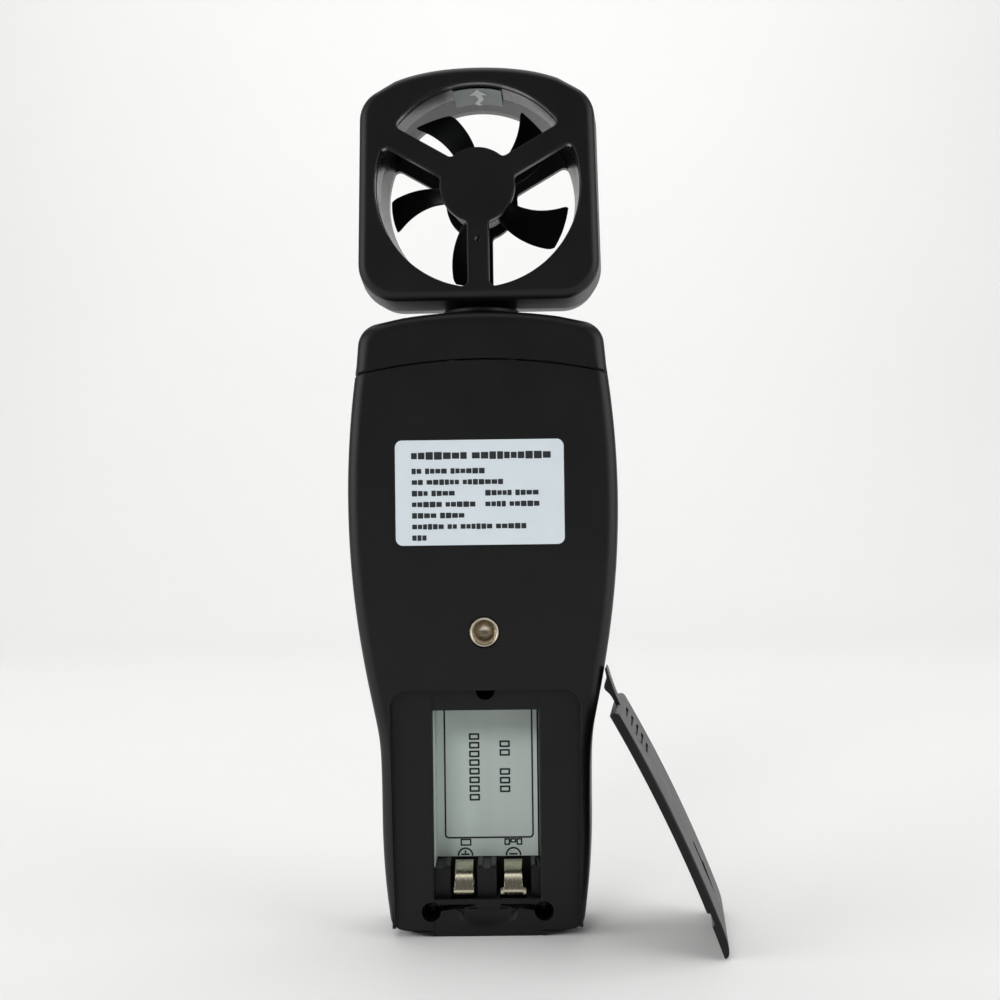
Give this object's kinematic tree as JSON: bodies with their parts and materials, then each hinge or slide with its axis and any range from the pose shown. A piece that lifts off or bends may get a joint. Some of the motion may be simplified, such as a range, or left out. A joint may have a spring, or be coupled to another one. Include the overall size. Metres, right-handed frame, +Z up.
{
  "type": "handheld weather meter",
  "caption": "Handheld vane anemometer: swivelling ducted impeller head on a waisted battery-powered housing, battery door off and leaning beside it.",
  "frame": {"origin": "centre of the housing's lower face, on the surface that the meter stands on", "axes": "+Z up the housing's centre line, -Y out of the back with the battery bay, +Y out of the front with the display, +X towards the leaning battery door"},
  "size_m": [0.0982, 0.0534, 0.2235],
  "materials": {
    "black_abs": "fine spark-eroded satin",
    "label_film": "satin silver-blue film",
    "bay_film": "satin metallised film",
    "arrow_film": "satin film",
    "nickel_plate": "bright nickel plate",
    "screw_steel": "zinc plated",
    "lens_acrylic": "polished",
    "lcd_glass": "anti-glare",
    "white_carrier": "satin",
    "zebra_rubber": "matt",
    "circuit_board": "solder mask",
    "buzzer_case": "moulded",
    "key_rubber": "matt",
    "key_cap": "matt silicone",
    "white_nylon": "moulded",
    "nitrile_rubber": "matt",
    "bearing_bronze": "sintered",
    "ferrite": "ground",
    "sensor_grey": "moulded",
    "thermistor_bead": "epoxy"
  },
  "bodies": {
    "housing": {"back_shell": "black_abs", "front_shell": "black_abs", "top_cap": "black_abs", "rating_label": "label_film", "tripod_insert": "nickel_plate", "bay_sticker": "bay_film", "housing_screw_top": "screw_steel", "housing_screw_left": "screw_steel", "housing_screw_right": "screw_steel", "display_lens": "lens_acrylic", "lcd_panel": "lcd_glass", "lcd_carrier": "white_carrier", "lcd_connector": "zebra_rubber", "main_board": "circuit_board", "buzzer": "buzzer_case", "key_sheet": "key_rubber", "swivel_bush": "white_nylon", "friction_washer": "nitrile_rubber"},
    "head": {"swivel_neck": "black_abs", "swivel_retainer": "screw_steel", "head_back_shell": "black_abs", "head_front_shell": "black_abs", "arrow_sticker": "arrow_film", "bearing_back": "bearing_bronze", "bearing_front": "bearing_bronze", "speed_pickup": "sensor_grey", "temperature_bead": "thermistor_bead", "head_screw_1": "screw_steel", "head_screw_2": "screw_steel", "head_screw_3": "screw_steel", "head_screw_4": "screw_steel"},
    "impeller": {"impeller": "black_abs", "impeller_axle": "screw_steel", "impeller_magnet": "ferrite"},
    "contact_plus": {"contact_plus": "nickel_plate"},
    "contact_minus": {"contact_minus": "nickel_plate"},
    "key_power": {"key_power": "key_cap"},
    "key_hold": {"key_hold": "key_cap"},
    "key_mode": {"key_mode": "key_cap"},
    "key_unit": {"key_unit": "key_cap"},
    "key_max_min": {"key_max_min": "key_cap"},
    "key_light": {"key_light": "key_cap"},
    "battery_door": {"battery_door": "black_abs"}
  },
  "joints": [
    {"name": "head_swivel", "type": "hinge", "parent": "housing", "child": "head", "pos_m": [0, 0, 0.16], "axis": [0, 0, 1], "range_deg": [-88.2, 91.8]},
    {"name": "impeller_spin", "type": "hinge", "parent": "head", "child": "impeller", "pos_m": [0, 0, 0.1921], "axis": [0.0314, 0.9995, 0], "continuous": true},
    {"name": "battery_door_tip", "type": "hinge", "parent": "housing", "child": "battery_door", "pos_m": [0.05822, -0.01303, 0.00251], "axis": [0.0958, 0.9954, 0], "range_deg": [0, 115]},
    {"name": "contact_plus_press", "type": "slide", "parent": "housing", "child": "contact_plus", "axis": [0, 0, -1], "range_m": [0, 0.0015], "stiffness_N_per_m": 900},
    {"name": "contact_minus_press", "type": "slide", "parent": "housing", "child": "contact_minus", "axis": [0, 0, -1], "range_m": [0, 0.0015], "stiffness_N_per_m": 900},
    {"name": "key_power_press", "type": "slide", "parent": "housing", "child": "key_power", "axis": [0, -1, 0], "range_m": [0, 0.0008], "stiffness_N_per_m": 400},
    {"name": "key_hold_press", "type": "slide", "parent": "housing", "child": "key_hold", "axis": [0, -1, 0], "range_m": [0, 0.0008], "stiffness_N_per_m": 400},
    {"name": "key_mode_press", "type": "slide", "parent": "housing", "child": "key_mode", "axis": [0, -1, 0], "range_m": [0, 0.0008], "stiffness_N_per_m": 400},
    {"name": "key_unit_press", "type": "slide", "parent": "housing", "child": "key_unit", "axis": [0, -1, 0], "range_m": [0, 0.0008], "stiffness_N_per_m": 400},
    {"name": "key_max_min_press", "type": "slide", "parent": "housing", "child": "key_max_min", "axis": [0, -1, 0], "range_m": [0, 0.0008], "stiffness_N_per_m": 400},
    {"name": "key_light_press", "type": "slide", "parent": "housing", "child": "key_light", "axis": [0, -1, 0], "range_m": [0, 0.0008], "stiffness_N_per_m": 400}
  ]
}
